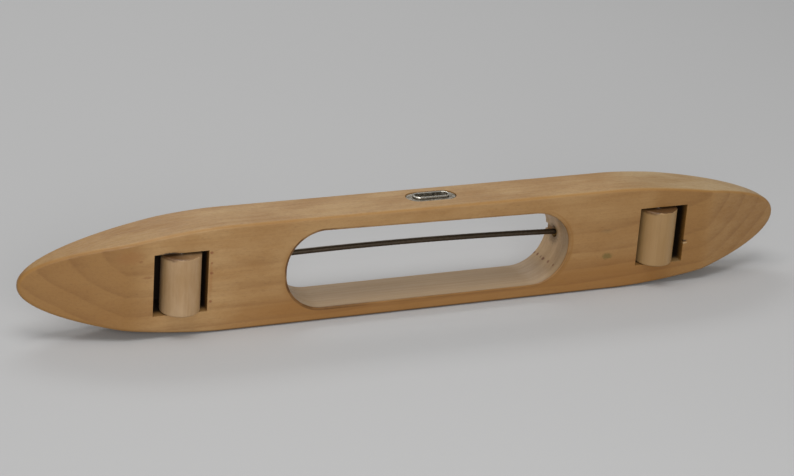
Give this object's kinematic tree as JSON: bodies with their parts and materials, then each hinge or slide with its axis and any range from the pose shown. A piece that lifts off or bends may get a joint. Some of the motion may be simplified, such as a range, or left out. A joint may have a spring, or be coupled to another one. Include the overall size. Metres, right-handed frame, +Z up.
{
  "type": "weaving shuttle",
  "caption": "Wooden boat shuttle for hand weaving: pointed body with an open quill space, a swinging steel spindle, rollers in pockets and a metal thread eyelet in the side wall.",
  "frame": {"origin": "bottom centre of the bounding box, with the shuttle standing on its long plain side wall", "axes": "+X along the shuttle towards the catch end, +Y towards the flat top face and away from the rollers, +Z up across the width towards the side wall with the eyelet"},
  "size_m": [0.382, 0.0296, 0.0519],
  "materials": {
    "body_wood": "sanded and oiled pale hardwood",
    "roller_wood": "turned pale hardwood, smooth from use",
    "spindle_steel": "darkened spring steel wire",
    "pin_steel": "plain drawn steel",
    "catch_brass": "tarnished turned brass",
    "eyelet_nickel": "bright nickel plate",
    "washer_steel": "dull grey plate, finely pitted"
  },
  "bodies": {
    "boat": {"body": "body_wood", "roller_axle_left": "pin_steel", "roller_axle_right": "pin_steel", "spindle_pivot_pin": "pin_steel", "spindle_catch": "catch_brass", "eyelet": "eyelet_nickel", "eyelet_washer_outer": "washer_steel", "eyelet_washer_inner": "washer_steel"},
    "left_roller": {"roller_left": "roller_wood"},
    "right_roller": {"roller_right": "roller_wood"},
    "spindle": {"spindle": "spindle_steel"}
  },
  "joints": [
    {"name": "roller_left_spin", "type": "hinge", "parent": "boat", "child": "left_roller", "pos_m": [-0.1199, -0.00565, 0.0255], "axis": [0, 0, 1], "continuous": true},
    {"name": "roller_right_spin", "type": "hinge", "parent": "boat", "child": "right_roller", "pos_m": [0.1199, -0.00565, 0.0255], "axis": [0, 0, 1], "continuous": true},
    {"name": "spindle_swing", "type": "hinge", "parent": "boat", "child": "spindle", "pos_m": [-0.0785, 0.01025, 0.026], "axis": [0, 0, 1], "range_deg": [0, 60]}
  ]
}
